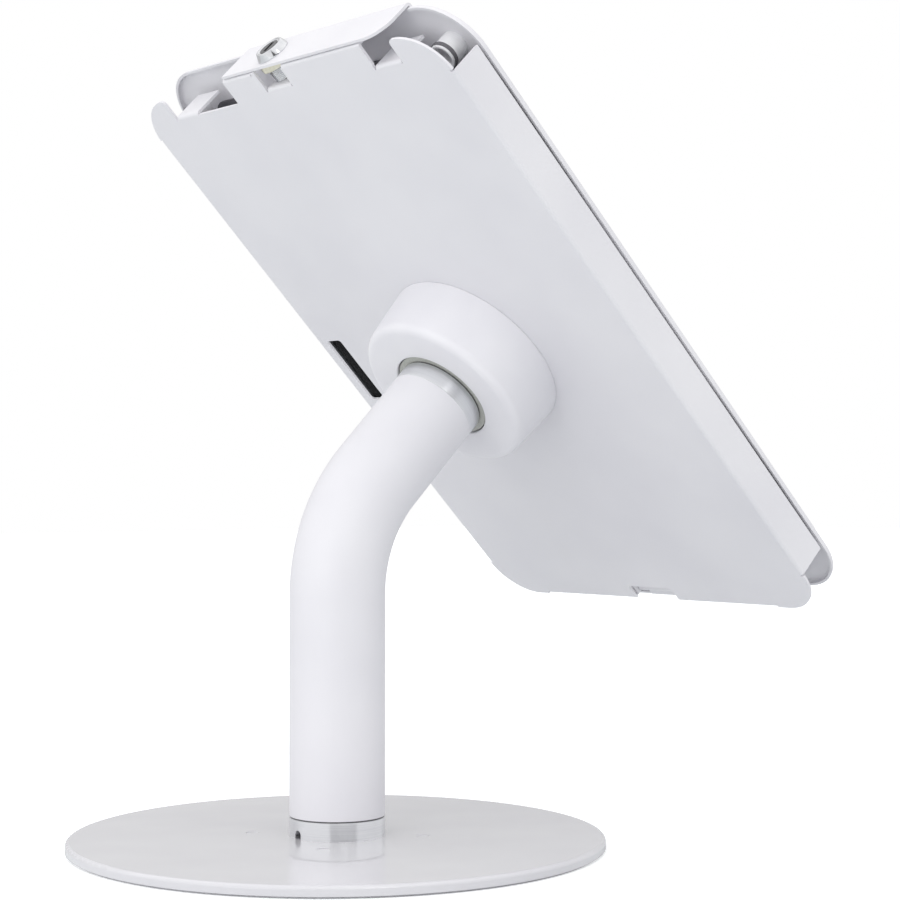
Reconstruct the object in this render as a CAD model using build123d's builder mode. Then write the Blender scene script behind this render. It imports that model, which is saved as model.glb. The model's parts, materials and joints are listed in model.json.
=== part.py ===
"""Tablet security kiosk stand: a round base, a bent tube arm, a turning head and a locked tablet case.

Millimetres, +Z up. The origin is the centre of the base's underside. The arm leans towards -Y.
"""
import os
from math import cos, radians, sin

from build123d import *

os.makedirs("parts", exist_ok=True)

# Base plate and the pad under it
plate_diameter = 280
plate_thickness = 5
plate_edge_radius = 2
pad_thickness = 1.2
pad_setback = 2
bolt_circle = 90
bolt_count = 4
bolt_diameter = 5
bolt_depth = 3.8
bolt_access_diameter = 9
dimple_diameter = 7
dimple_depth = 0.25

# Arm tube, from the plate's top to the head
tube_diameter = 50
tube_wall = 2
bend_height = 125
bend_radius = 88
lean_angle = 45
neck_length = 52

# Turning joints at both ends of the arm
lower_collar_height = 9.5
upper_collar_height = 9.8
collar_edge_radius = 0.4
lower_washer_thickness = 0.8
upper_washer_thickness = 1.0
washer_setback = 0.5
washer_land = 0.4
flange_share = 0.8
spindle_share = 0.48
spindle_tail = 0.5
cable_bore_share = 0.32
cable_slot_width = 4.8
cable_slot_height = 4.4
bush_wall = 2
bush_length = 7.5
bush_flange_thickness = 1
bush_flange_width = 3
spring_thickness = 0.8
spring_rise = 0.8
nut_share = 0.72
nut_height = 5.5
nut_slot_width = 4
nut_slot_depth = 2.5
nut_slot_count = 4
pin_diameter = 3
pin_circle_share = 0.68
pin_seat_depth = 8
groove_depth = 3
swivel_range = 170
turn_range = 90
foot_height = 44
sleeve_length = 28
sleeve_pocket_depth = 22
sleeve_wall = 4

# Screws that hold the lower joint to the base plate
hub_screw_circle_share = 0.56
hub_screw_count = 4
hub_screw_diameter = 4
hub_screw_head = 8
hub_screw_length = 9
hub_screw_spare = 0.5
hub_screw_socket = 2.5
hub_screw_socket_depth = 1.2

# Turning hub and its round cover
hub_length = 32.7
hub_rim = 3.1
hub_bore_length = 19.2
hub_recess_gap = 3
hub_flange_thickness = 4
cover_diameter = 106
cover_hole_gap = 0.4
cover_depth = 34
cover_wall = 2.5
cover_edge_radius = 5.5
tray_screw_circle = 80
tray_screw_count = 4
tray_screw_diameter = 4
tray_screw_length = 5.3
tray_screw_head = 7.6
tray_screw_head_height = 2.2
tray_screw_socket = 2.5
tray_screw_socket_depth = 1.2

# Folded sheet of the tray and the front frame
sheet = 1.5
bend_outer_radius = 2
bend_relief = 1

# Back tray, across (+X and -X), up (+) and down (-) the slope, and towards the front
tray_width = 262
tray_top = 198
tray_bottom = -199
tray_corner_radius = 26.5
wall_height = 20.5
wall_half_length = 171.5
ear_top = 195.5
ear_width = 29
ear_tip_radius = 2.5
shoulder_top = 184
shoulder_lip_height = 20
near_lip_gap = 1
near_lip_length = 21
far_lip_gap = 1
far_lip_length = 20
top_gap_floor = 182.5
raised_near_end = 40
raised_far_gap = 21.5
raised_lip_height = 14
lock_notch_near = 10
lock_notch_far = -13
lock_notch_floor = 187
lock_lip_gap = 14
strike_height = 6
bottom_lip_setback = 36
bottom_lip_height = 18
hinge_notch_near = 17
hinge_notch_far = -19
hinge_notch_floor = -188
hinge_notch_radius = 3
hinge_ear_top = 16
hinge_ear_depth = 9
slot_setback = 8.3
slot_width = 13.3
slot_top = 18
slot_bottom = -29.5
slot_corner_radius = 2
cable_hole_diameter = 30
rail_thickness = 4.3
rail_height = 2.8
rail_half_length = 165
foam_width = 6.3
foam_height = 9.7
pad_width = 50
pad_length = 80
pad_height = 3.5
pad_setback_across = 21
pad_pitch_along = 240
grommet_lip = 2
grommet_flange = 1
grommet_wall = 3.5

# Front frame
frame_top = 199.9
frame_bottom = -207
frame_inner_height = 25
frame_corner_radius = 31
rim_height = 4
rim_radius = 3
flange_step = 2.1
side_border = 33
end_border = 30.45
window_corner_radius = 6
gasket_width = 5
gasket_thickness = 1.2
top_flange_near = 38.5
top_flange_setback = 32.5
top_flange_end = 0.5
top_flange_corner_radius = 13
bottom_flange_setback = 41
bottom_flange_end = 11.7
hinge_side_gap = 0.5

# Hinge pin of the front frame
hinge_pin_diameter = 3
hinge_pin_place = -195.6
hinge_pin_tail = 1.5
knuckle_diameter = 6.5

# Corner posts inside the front frame
post_gap = 2
post_diameter = 14.1
post_bore = 11.4
post_length = 12.1
post_along = 173
post_ring_depth = 0.65
post_ring_height = 2.2
post_ring_place = 1.2
post_ring_swell = 0.6

# Cam lock
lock_across = 2.3
lock_height = 12.2
lock_head_diameter = 18.7
lock_head_top_diameter = 15.4
lock_head_height = 4.2
barrel_diameter = 16
barrel_end = 187.3
lock_nut_across = 20
lock_nut_height = 4
plug_diameter = 11
plug_recess = 0.3
keyway_width = 2.2
keyway_length = 7.4
keyway_depth = 3
stem_diameter = 8
stem_square_share = 0.7
cam_top = 185.2
cam_thickness = 2.2
cam_reach = 9.5
cam_width = 6
cam_boss_diameter = 11
cam_screw_diameter = 4
cam_screw_head = 7
cam_screw_head_height = 1.8
cam_screw_depth = 6

# Catch of the lock, welded inside the tray
catch_foot_far = -38
catch_upright = -22
catch_tip = -4
catch_bottom = 178
catch_top = 187
catch_ledge_gap = 0.3

# Fits
press_gap = 0.02
running_gap = 0.05
seat_gap = 0.3
groove_gap = 0.3
spring_gap = 0.1
overrun = 1

# Places worked out from the sizes
plate_top = pad_thickness + plate_thickness
collar_top = plate_top + lower_collar_height
tube_bottom = collar_top + lower_washer_thickness
foot_top = tube_bottom + foot_height
bend_start = plate_top + bend_height
tube_radius = tube_diameter / 2
tube_bore_radius = tube_radius - tube_wall
flange_diameter = tube_diameter * flange_share
spindle_radius = tube_diameter * spindle_share / 2
cable_bore = tube_diameter * cable_bore_share
pin_circle = tube_diameter * pin_circle_share
hub_screw_circle = tube_diameter * hub_screw_circle_share
nut_diameter = tube_diameter * nut_share
hub_diameter = tube_diameter + 2 * hub_rim
hub_recess_diameter = nut_diameter + 2 * hub_recess_gap
cover_hole_diameter = hub_diameter + 2 * cover_hole_gap
bush_outer_radius = spindle_radius + bush_wall
groove_outer_radius = (pin_circle + pin_diameter) / 2 + groove_gap
washer_inner_radius = groove_outer_radius + washer_land
washer_outer_radius = tube_radius - washer_setback
spring_height = spring_thickness + spring_rise
stack_height = bush_flange_thickness + spring_gap + spring_height + nut_height + spindle_tail
neck_collar_top = neck_length + upper_collar_height
hub_face = neck_collar_top + upper_washer_thickness
hub_recess_floor = hub_face + hub_bore_length
tray_height = hub_face + hub_length
cover_inner_radius = cover_diameter / 2 - cover_wall
tray_half_width = tray_width / 2
ear_inner = tray_half_width - ear_width
raised_far_end = raised_far_gap - ear_inner
near_lip_outer = ear_inner - near_lip_gap
near_lip_inner = near_lip_outer - near_lip_length
far_lip_outer = far_lip_gap - ear_inner
bottom_lip_reach = tray_half_width - bottom_lip_setback
rail_outer = tray_half_width - bend_outer_radius
pad_across = tray_half_width - pad_setback_across - pad_width / 2
window_width = tray_width - 2 * side_border
window_length = frame_top - frame_bottom - 2 * end_border
post_across = window_width / 2 + gasket_width + post_gap + post_diameter / 2
top_flange_far = top_flange_setback - tray_half_width
bottom_flange_reach = tray_half_width - bottom_flange_setback
frame_face = frame_inner_height + sheet
rim_floor = frame_face - rim_height
hinge_pin_height = bottom_flange_end - knuckle_diameter / 2

# Planes: the ground, the neck where the tube's bend ends, and the head on the tray's back
lean = radians(lean_angle)
bend_end = (0, -bend_radius * (1 - cos(lean)), bend_start + bend_radius * sin(lean))
neck_plane = Plane(origin=bend_end, x_dir=(1, 0, 0), z_dir=(0, -sin(lean), cos(lean)))
neck_axis = Axis(neck_plane.origin, neck_plane.z_dir)
head_plane = neck_plane.offset(tray_height)
plate_plane = Plane.XY.offset(plate_top)
underside = Plane(origin=(0, 0, pad_thickness), x_dir=(1, 0, 0), z_dir=(0, 0, -1))
across = head_plane.x_dir
uphill = head_plane.y_dir
forward = head_plane.z_dir


def on_head(x, y, z):
    """Point of the head from its places across, up the slope and towards the front."""
    return head_plane.origin + across * x + uphill * y + forward * z


def head_section(x, y, z, x_dir, y_dir):
    """Plane through a point of the head, with its own two directions."""
    return Plane(origin=on_head(x, y, z), x_dir=x_dir, z_dir=x_dir.cross(y_dir))


def hinge_section(x):
    """Plane across the hinge pin at a place along it."""
    return head_section(x, hinge_pin_place, hinge_pin_height, uphill, forward)


def lock_section(y):
    """Plane across the lock's axis at a place up the slope. Its Z points down the slope."""
    return head_section(lock_across, y, lock_height, across, forward)


def ring(plane, outer_radius, inner_radius, height):
    """Add a plain ring that stands on the plane."""
    with BuildSketch(plane) as ring_face:
        Circle(outer_radius)
        Circle(inner_radius, mode=Mode.SUBTRACT)
    extrude(ring_face.sketch, amount=height)


def sheet_fold(corner, length, height):
    """Fold a sheet edge up from the corner plane, whose X points out and Y along the new wall."""
    with BuildSketch(corner.offset(-bend_relief)) as edge_strip:
        with Locations((-bend_outer_radius, 0)):
            Rectangle(bend_outer_radius + overrun, sheet, align=(Align.MIN, Align.MIN))
    extrude(edge_strip.sketch, amount=length + 2 * bend_relief, mode=Mode.SUBTRACT)
    with BuildSketch(corner) as section:
        with BuildLine():
            outside = FilletPolyline(
                (-bend_outer_radius - sheet, 0), (0, 0), (0, height), radius=bend_outer_radius
            )
            inside = FilletPolyline(
                (-bend_outer_radius - sheet, sheet),
                (-sheet, sheet),
                (-sheet, height),
                radius=bend_outer_radius - sheet,
            )
            Line(outside @ 0, inside @ 0)
            Line(outside @ 1, inside @ 1)
        make_face()
    extrude(section.sketch, amount=length)


def stop_groove(plane, middle_angle, half_range):
    """Cut the round-ended groove in which a stop pin travels."""
    travel = CenterArc((0, 0), pin_circle / 2, middle_angle - half_range, 2 * half_range)
    with BuildSketch(plane) as groove:
        SlotArc(travel, height=pin_diameter + 2 * groove_gap)
    extrude(groove.sketch, amount=-groove_depth, mode=Mode.SUBTRACT)


def cable_arch(plane, length):
    """Cut the arched way of the cable, with its floor on the plane's X axis."""
    with BuildSketch(plane) as arch:
        with Locations((0, cable_slot_height - cable_slot_width / 2)):
            Circle(cable_slot_width / 2)
        Rectangle(
            cable_slot_width,
            cable_slot_height - cable_slot_width / 2,
            align=(Align.CENTER, Align.MIN),
        )
    extrude(arch.sketch, amount=length, mode=Mode.SUBTRACT)


def bush_pair(lower_seat, upper_seat):
    """Plain bush that starts at the lower seat, and a flanged bush let in at the upper seat."""
    with BuildPart() as bushes:
        for seat in (lower_seat, upper_seat.offset(-bush_length)):
            ring(seat, bush_outer_radius - press_gap, spindle_radius + running_gap, bush_length)
        ring(
            upper_seat,
            bush_outer_radius + bush_flange_width,
            spindle_radius + running_gap,
            bush_flange_thickness,
        )
    return bushes


def disc_spring(seat):
    """Coned spring washer round the spindle, its wide rim on the seat plane."""
    section_plane = Plane(seat.origin, x_dir=seat.x_dir, z_dir=seat.x_dir.cross(seat.z_dir))
    inner = spindle_radius + seat_gap
    outer = bush_outer_radius + bush_flange_width
    with BuildPart() as spring:
        with BuildSketch(section_plane):
            with BuildLine():
                Polyline(
                    (inner, spring_rise),
                    (outer, 0),
                    (outer, spring_thickness),
                    (inner, spring_height),
                    close=True,
                )
            make_face()
        revolve(axis=Axis(seat.origin, seat.z_dir))
    return spring


def ring_nut(seat):
    """Slotted round nut on the spindle's thread."""
    with BuildPart() as nut:
        ring(seat, nut_diameter / 2, spindle_radius + press_gap, nut_height)
        with BuildSketch(seat.offset(nut_height)):
            with PolarLocations(nut_diameter / 2, nut_slot_count):
                Rectangle(2 * nut_slot_depth, nut_slot_width)
        extrude(amount=-nut_height, mode=Mode.SUBTRACT)
    return nut


# Base plate, with blind threads below and their faint dimples on top
with BuildPart() as base_plate:
    with BuildSketch(Plane.XY.offset(pad_thickness)):
        Circle(plate_diameter / 2)
    extrude(amount=plate_thickness)
    fillet(base_plate.edges().sort_by(Axis.Z)[-1], radius=plate_edge_radius)
    with BuildSketch(Plane.XY.offset(pad_thickness)):
        with PolarLocations(bolt_circle / 2, bolt_count, start_angle=lean_angle):
            Circle(bolt_diameter / 2)
    extrude(amount=bolt_depth, mode=Mode.SUBTRACT)
    with BuildSketch(plate_plane):
        with PolarLocations(bolt_circle / 2, bolt_count, start_angle=lean_angle):
            Circle(dimple_diameter / 2)
    extrude(amount=-dimple_depth, mode=Mode.SUBTRACT)
    with Locations(underside):
        with PolarLocations(hub_screw_circle / 2, hub_screw_count, start_angle=lean_angle):
            CounterSinkHole(
                radius=hub_screw_diameter / 2 + press_gap,
                counter_sink_radius=hub_screw_head / 2 + press_gap,
                counter_sink_angle=90,
            )
base_plate.part.label = "base_plate"
export_step(base_plate.part, "parts/base_plate.step")

# Non-slip pad
with BuildPart() as base_pad:
    with BuildSketch():
        Circle(plate_diameter / 2 - pad_setback)
        with PolarLocations(bolt_circle / 2, bolt_count, start_angle=lean_angle):
            Circle(bolt_access_diameter / 2, mode=Mode.SUBTRACT)
        with PolarLocations(hub_screw_circle / 2, hub_screw_count, start_angle=lean_angle):
            Circle(bolt_access_diameter / 2, mode=Mode.SUBTRACT)
    extrude(amount=pad_thickness)
base_pad.part.label = "base_pad"
export_step(base_pad.part, "parts/base_pad.step")

# Hub of the lower joint: flange, spindle, cable bore, cable way and stop groove
hub_height = foot_top + stack_height - plate_top
with BuildPart() as swivel_hub:
    with BuildSketch(plate_plane):
        Circle(flange_diameter / 2)
    extrude(amount=lower_collar_height)
    with BuildSketch(plate_plane):
        Circle(spindle_radius)
    extrude(amount=hub_height)
    with BuildSketch(plate_plane):
        Circle(cable_bore / 2)
    extrude(amount=hub_height, mode=Mode.SUBTRACT)
    with BuildSketch(plate_plane):
        with PolarLocations(hub_screw_circle / 2, hub_screw_count, start_angle=lean_angle):
            Circle(hub_screw_diameter / 2 + press_gap)
    extrude(amount=hub_screw_length - plate_thickness + hub_screw_spare, mode=Mode.SUBTRACT)
    stop_groove(Plane.XY.offset(collar_top), -90, swivel_range)
    cable_arch(Plane((0, 0, plate_top), x_dir=(-1, 0, 0), z_dir=(0, 1, 0)), tube_radius)
swivel_hub.part.label = "swivel_hub"
export_step(swivel_hub.part, "parts/swivel_hub.step")

# Countersunk screws from below
with BuildPart() as hub_screws:
    with Locations(underside):
        with PolarLocations(hub_screw_circle / 2, hub_screw_count, start_angle=lean_angle):
            Cylinder(
                hub_screw_diameter / 2,
                hub_screw_length,
                align=(Align.CENTER, Align.CENTER, Align.MAX),
            )
            Cone(
                hub_screw_diameter / 2,
                hub_screw_head / 2,
                (hub_screw_head - hub_screw_diameter) / 2,
                align=(Align.CENTER, Align.CENTER, Align.MAX),
            )
    with BuildSketch(underside):
        with PolarLocations(hub_screw_circle / 2, hub_screw_count, start_angle=lean_angle):
            RegularPolygon(hub_screw_socket / 2, side_count=6, major_radius=False)
    extrude(amount=-hub_screw_socket_depth, mode=Mode.SUBTRACT)
hub_screws.part.label = "hub_screws"
export_step(hub_screws.part, "parts/hub_screws.step")

# Lower collar, with the arched cable notch at the back
with BuildPart() as lower_collar:
    ring(plate_plane, tube_radius, flange_diameter / 2 + running_gap, lower_collar_height)
    fillet(
        lower_collar.edges().group_by(Axis.Z)[-1].sort_by(SortBy.RADIUS)[-1],
        radius=collar_edge_radius,
    )
    cable_arch(Plane((0, 0, plate_top), x_dir=(-1, 0, 0), z_dir=(0, 1, 0)), tube_diameter)
lower_collar.part.label = "lower_collar"
export_step(lower_collar.part, "parts/lower_collar.step")

# Thrust washer of the lower joint
with BuildPart() as swivel_thrust_washer:
    ring(
        Plane.XY.offset(collar_top),
        washer_outer_radius,
        washer_inner_radius,
        lower_washer_thickness,
    )
swivel_thrust_washer.part.label = "swivel_thrust_washer"
export_step(swivel_thrust_washer.part, "parts/swivel_thrust_washer.step")

# Spring and nut that load the lower joint
swivel_stack = Plane.XY.offset(foot_top + bush_flange_thickness + spring_gap)
swivel_disc_spring = disc_spring(swivel_stack)
swivel_disc_spring.part.label = "swivel_disc_spring"
export_step(swivel_disc_spring.part, "parts/swivel_disc_spring.step")

swivel_ring_nut = ring_nut(swivel_stack.offset(spring_height))
swivel_ring_nut.part.label = "swivel_ring_nut"
export_step(swivel_ring_nut.part, "parts/swivel_ring_nut.step")

# Bent arm tube
with BuildPart() as arm_tube:
    with BuildLine():
        riser = Line((0, 0, tube_bottom), (0, 0, bend_start))
        elbow = ThreePointArc(
            riser @ 1,
            (0, -bend_radius * (1 - cos(lean / 2)), bend_start + bend_radius * sin(lean / 2)),
            neck_plane.origin,
        )
        Line(elbow @ 1, neck_plane.offset(neck_length).origin)
    with BuildSketch(Plane.XY.offset(tube_bottom)):
        Circle(tube_radius)
        Circle(tube_bore_radius, mode=Mode.SUBTRACT)
    sweep()
arm_tube.part.label = "arm_tube"
export_step(arm_tube.part, "parts/arm_tube.step")

# Foot that fills the tube's lower end and carries the bushes and the stop pin
with BuildPart() as arm_foot:
    ring(Plane.XY.offset(tube_bottom), tube_bore_radius - press_gap, bush_outer_radius, foot_height)
    with BuildSketch(Plane.XY.offset(tube_bottom)):
        with Locations((0, -pin_circle / 2)):
            Circle(pin_diameter / 2 + press_gap)
    extrude(amount=pin_seat_depth, mode=Mode.SUBTRACT)
arm_foot.part.label = "arm_foot"
export_step(arm_foot.part, "parts/arm_foot.step")

swivel_bushes = bush_pair(Plane.XY.offset(tube_bottom), Plane.XY.offset(foot_top))
swivel_bushes.part.label = "swivel_bushes"
export_step(swivel_bushes.part, "parts/swivel_bushes.step")

with BuildPart() as swivel_stop_pin:
    with BuildSketch(Plane.XY.offset(tube_bottom + pin_seat_depth)):
        with Locations((0, -pin_circle / 2)):
            Circle(pin_diameter / 2)
    extrude(amount=-(pin_seat_depth + lower_washer_thickness + groove_depth - groove_gap))
swivel_stop_pin.part.label = "swivel_stop_pin"
export_step(swivel_stop_pin.part, "parts/swivel_stop_pin.step")

# Spindle of the head, with a sleeve inside the tube's upper end
with BuildPart() as head_spindle:
    with BuildSketch(neck_plane.offset(neck_length - sleeve_length)):
        Circle(tube_bore_radius - press_gap)
    extrude(amount=sleeve_length)
    with BuildSketch(neck_plane.offset(neck_length)):
        Circle(flange_diameter / 2)
    extrude(amount=upper_collar_height)
    spindle_length = upper_washer_thickness + hub_bore_length + stack_height
    with BuildSketch(neck_plane.offset(neck_collar_top)):
        Circle(spindle_radius)
    extrude(amount=spindle_length)
    with BuildSketch(neck_plane.offset(neck_length - sleeve_length)):
        Circle(cable_bore / 2)
    extrude(amount=sleeve_length + upper_collar_height + spindle_length, mode=Mode.SUBTRACT)
    with BuildSketch(neck_plane.offset(neck_length - sleeve_length)):
        Circle(tube_bore_radius - sleeve_wall)
    extrude(amount=sleeve_pocket_depth, mode=Mode.SUBTRACT)
    stop_groove(neck_plane.offset(neck_collar_top), -90, turn_range)
head_spindle.part.label = "head_spindle"
export_step(head_spindle.part, "parts/head_spindle.step")

# Upper collar and its washer
with BuildPart() as upper_collar:
    ring(
        neck_plane.offset(neck_length),
        tube_radius,
        flange_diameter / 2 + running_gap,
        upper_collar_height,
    )
upper_collar.part.label = "upper_collar"
export_step(upper_collar.part, "parts/upper_collar.step")

with BuildPart() as head_thrust_washer:
    ring(
        neck_plane.offset(neck_collar_top),
        washer_outer_radius,
        washer_inner_radius,
        upper_washer_thickness,
    )
head_thrust_washer.part.label = "head_thrust_washer"
export_step(head_thrust_washer.part, "parts/head_thrust_washer.step")

# Spring and nut that load the head's joint
head_stack = neck_plane.offset(hub_recess_floor + bush_flange_thickness + spring_gap)
head_disc_spring = disc_spring(head_stack)
head_disc_spring.part.label = "head_disc_spring"
export_step(head_disc_spring.part, "parts/head_disc_spring.step")

head_ring_nut = ring_nut(head_stack.offset(spring_height))
head_ring_nut.part.label = "head_ring_nut"
export_step(head_ring_nut.part, "parts/head_ring_nut.step")

# Turning hub of the head: boss, flange on the tray, bush bore and nut recess
with BuildPart() as head_hub:
    with BuildSketch(neck_plane.offset(hub_face)):
        Circle(hub_diameter / 2)
    extrude(amount=hub_length)
    with BuildSketch(head_plane):
        Circle(cover_inner_radius - seat_gap)
    extrude(amount=-hub_flange_thickness)
    with BuildSketch(neck_plane.offset(hub_face)):
        Circle(bush_outer_radius)
    extrude(amount=hub_length, mode=Mode.SUBTRACT)
    with BuildSketch(neck_plane.offset(hub_recess_floor)):
        Circle(hub_recess_diameter / 2)
    extrude(amount=hub_length, mode=Mode.SUBTRACT)
    with BuildSketch(head_plane):
        with PolarLocations(tray_screw_circle / 2, tray_screw_count, start_angle=lean_angle):
            Circle(tray_screw_diameter / 2 + press_gap)
    extrude(amount=-hub_flange_thickness, mode=Mode.SUBTRACT)
    with BuildSketch(neck_plane.offset(hub_face)):
        with Locations((0, -pin_circle / 2)):
            Circle(pin_diameter / 2 + press_gap)
    extrude(amount=pin_seat_depth, mode=Mode.SUBTRACT)
head_hub.part.label = "head_hub"
export_step(head_hub.part, "parts/head_hub.step")

head_bushes = bush_pair(neck_plane.offset(hub_face), neck_plane.offset(hub_recess_floor))
head_bushes.part.label = "head_bushes"
export_step(head_bushes.part, "parts/head_bushes.step")

with BuildPart() as head_stop_pin:
    with BuildSketch(neck_plane.offset(hub_face + pin_seat_depth)):
        with Locations((0, -pin_circle / 2)):
            Circle(pin_diameter / 2)
    extrude(amount=-(pin_seat_depth + upper_washer_thickness + groove_depth - groove_gap))
head_stop_pin.part.label = "head_stop_pin"
export_step(head_stop_pin.part, "parts/head_stop_pin.step")

# Round cover over the hub
with BuildPart() as hub_cover:
    with BuildSketch(head_plane):
        Circle(cover_diameter / 2)
    extrude(amount=-cover_depth)
    fillet(hub_cover.edges().sort_by(neck_axis)[0], radius=cover_edge_radius)
    offset(amount=-cover_wall, openings=hub_cover.faces().sort_by(neck_axis)[-1])
    with BuildSketch(head_plane):
        Circle(cover_hole_diameter / 2)
    extrude(amount=-cover_depth, mode=Mode.SUBTRACT)
hub_cover.part.label = "hub_cover"
export_step(hub_cover.part, "parts/hub_cover.step")

# Back tray, folded from one sheet
with BuildPart() as back_tray:
    with BuildSketch(head_plane):
        with Locations((0, (ear_top + tray_bottom) / 2)):
            RectangleRounded(tray_width, ear_top - tray_bottom, tray_corner_radius)
        for side in (1, -1):
            with Locations((side * (ear_inner + ear_tip_radius / 2), ear_top - ear_tip_radius / 2)):
                Rectangle(ear_tip_radius, ear_tip_radius, mode=Mode.SUBTRACT)
            with Locations((side * (ear_inner + ear_tip_radius), ear_top - ear_tip_radius)):
                Circle(ear_tip_radius)
        with Locations((0, shoulder_top)):
            Rectangle(
                2 * ear_inner, tray_top, align=(Align.CENTER, Align.MIN), mode=Mode.SUBTRACT
            )
        with Locations((raised_far_end, shoulder_top)):
            Rectangle(
                raised_near_end - raised_far_end,
                tray_top - shoulder_top,
                align=(Align.MIN, Align.MIN),
            )
        with Locations((raised_near_end, top_gap_floor)):
            Rectangle(
                near_lip_inner - bend_relief - raised_near_end,
                tray_top,
                align=(Align.MIN, Align.MIN),
                mode=Mode.SUBTRACT,
            )
        with Locations((lock_notch_far, lock_notch_floor)):
            Rectangle(
                lock_notch_near - lock_notch_far,
                tray_top,
                align=(Align.MIN, Align.MIN),
                mode=Mode.SUBTRACT,
            )
        slot_across = tray_half_width - slot_setback - slot_width / 2
        with Locations((slot_across, (slot_top + slot_bottom) / 2)):
            RectangleRounded(
                slot_width, slot_top - slot_bottom, slot_corner_radius, mode=Mode.SUBTRACT
            )
        Circle(cable_hole_diameter / 2, mode=Mode.SUBTRACT)
        with PolarLocations(tray_screw_circle / 2, tray_screw_count, start_angle=lean_angle):
            Circle(tray_screw_diameter / 2 + running_gap, mode=Mode.SUBTRACT)
    extrude(amount=sheet)
    for side in (1, -1):
        sheet_fold(
            head_section(side * tray_half_width, side * wall_half_length, 0, across * side, forward),
            2 * wall_half_length,
            wall_height,
        )
    for start, end, edge, height in (
        (near_lip_inner, near_lip_outer, shoulder_top, shoulder_lip_height),
        (far_lip_outer, far_lip_outer + far_lip_length, shoulder_top, shoulder_lip_height),
        (raised_far_end, -lock_lip_gap, tray_top, raised_lip_height),
        (lock_lip_gap, raised_near_end, tray_top, raised_lip_height),
        (lock_notch_far + bend_relief, lock_notch_near - bend_relief, lock_notch_floor, strike_height),
    ):
        sheet_fold(head_section(start, edge, 0, uphill, forward), end - start, height)
    for start, end in (
        (bottom_lip_reach, hinge_notch_near),
        (hinge_notch_far, -bottom_lip_reach),
    ):
        sheet_fold(
            head_section(start, tray_bottom, 0, -uphill, forward), start - end, bottom_lip_height
        )
    with BuildSketch(head_plane):
        with Locations(((hinge_notch_near + hinge_notch_far) / 2, tray_bottom)):
            RectangleRounded(
                hinge_notch_near - hinge_notch_far,
                2 * (hinge_notch_floor - tray_bottom),
                hinge_notch_radius,
            )
    extrude(amount=sheet, mode=Mode.SUBTRACT)
    hinge_ear_bottom = bend_outer_radius + bend_relief
    for ear_edge, ear_start, outward in (
        (hinge_notch_near, hinge_ear_top, -across),
        (hinge_notch_far, hinge_ear_bottom, across),
    ):
        sheet_fold(
            head_section(ear_edge, tray_bottom, ear_start, outward, uphill),
            hinge_ear_top - hinge_ear_bottom,
            hinge_ear_depth,
        )
    with BuildSketch(hinge_section(hinge_notch_far - bend_outer_radius)):
        Circle(hinge_pin_diameter / 2 + press_gap)
    extrude(
        amount=hinge_notch_near - hinge_notch_far + 2 * bend_outer_radius, mode=Mode.SUBTRACT
    )
back_tray.part.label = "back_tray"
export_step(back_tray.part, "parts/back_tray.step")

# Screws that hold the tray on the hub
with BuildPart() as tray_screws:
    with Locations(head_plane.offset(sheet)):
        with PolarLocations(tray_screw_circle / 2, tray_screw_count, start_angle=lean_angle):
            Cylinder(
                tray_screw_diameter / 2,
                tray_screw_length,
                align=(Align.CENTER, Align.CENTER, Align.MAX),
            )
            Cylinder(
                tray_screw_head / 2,
                tray_screw_head_height,
                align=(Align.CENTER, Align.CENTER, Align.MIN),
            )
    with BuildSketch(head_plane.offset(sheet + tray_screw_head_height)):
        with PolarLocations(tray_screw_circle / 2, tray_screw_count, start_angle=lean_angle):
            RegularPolygon(tray_screw_socket / 2, side_count=6, major_radius=False)
    extrude(amount=-tray_screw_socket_depth, mode=Mode.SUBTRACT)
tray_screws.part.label = "tray_screws"
export_step(tray_screws.part, "parts/tray_screws.step")

# Grommet in the tray's cable hole
with BuildPart() as cable_grommet:
    grommet_bore_radius = cable_hole_diameter / 2 - grommet_wall
    for seat, rim, height in (
        (-grommet_flange, grommet_lip, grommet_flange),
        (0, -press_gap, sheet),
        (sheet, grommet_lip, grommet_flange),
    ):
        ring(head_plane.offset(seat), cable_hole_diameter / 2 + rim, grommet_bore_radius, height)
cable_grommet.part.label = "cable_grommet"
export_step(cable_grommet.part, "parts/cable_grommet.step")

# Foam pads under the tablet
with BuildPart() as tray_foam_pads:
    with BuildSketch(head_plane.offset(sheet)):
        with GridLocations(2 * pad_across, pad_pitch_along, 2, 2):
            Rectangle(pad_width, pad_length)
    extrude(amount=pad_height)
tray_foam_pads.part.label = "tray_foam_pads"
export_step(tray_foam_pads.part, "parts/tray_foam_pads.step")

# Rails inside the side walls, and the foam strips on them
with BuildPart() as side_rails:
    with BuildSketch(head_plane.offset(sheet)):
        with GridLocations(2 * rail_outer - rail_thickness, 0, 2, 1):
            Rectangle(rail_thickness, 2 * rail_half_length)
    extrude(amount=rail_height)
side_rails.part.label = "side_rails"
export_step(side_rails.part, "parts/side_rails.step")

with BuildPart() as side_foam:
    with BuildSketch(head_plane.offset(sheet + rail_height)):
        with GridLocations(2 * rail_outer - foam_width, 0, 2, 1):
            Rectangle(foam_width, 2 * rail_half_length)
    extrude(amount=foam_height)
side_foam.part.label = "side_foam"
export_step(side_foam.part, "parts/side_foam.step")

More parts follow.
